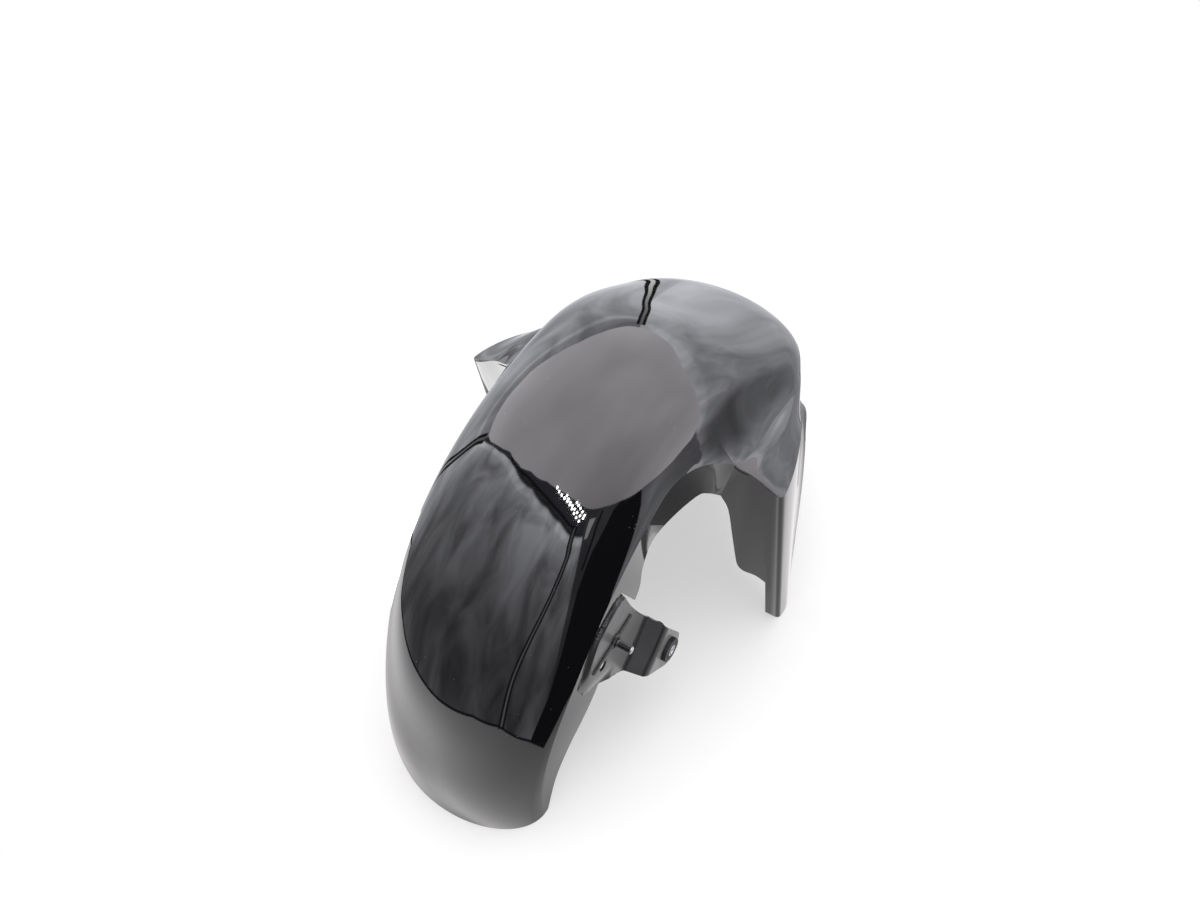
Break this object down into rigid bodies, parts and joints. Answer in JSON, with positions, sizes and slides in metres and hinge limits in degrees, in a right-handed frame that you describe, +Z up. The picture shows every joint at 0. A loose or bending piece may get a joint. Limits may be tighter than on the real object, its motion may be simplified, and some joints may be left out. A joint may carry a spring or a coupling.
{
  "type": "motorcycle front mudguard",
  "caption": "Moulded front mudguard with a rounded crown, side flanges, two fork shields, and two bracket arms with grommets, sleeves and hose clip studs.",
  "frame": {"origin": "middle of the bounding box on the ground plane that the tail edge and both feet rest on", "axes": "+X forward along the mudguard towards the nose, +Y to its left, +Z up"},
  "size_m": [0.4625, 0.2686, 0.272],
  "materials": {
    "shell": "gloss",
    "grommet": "matte",
    "sleeve": "satin",
    "clip_plate": "satin",
    "stud": "satin"
  },
  "bodies": {
    "root": {"mudguard_shell": "shell", "grommet_right": "grommet", "grommet_left": "grommet", "sleeve_right": "sleeve", "sleeve_left": "sleeve", "clip_plate_right": "clip_plate", "clip_plate_left": "clip_plate", "stud_right": "stud", "stud_left": "stud"}
  },
  "joints": []
}
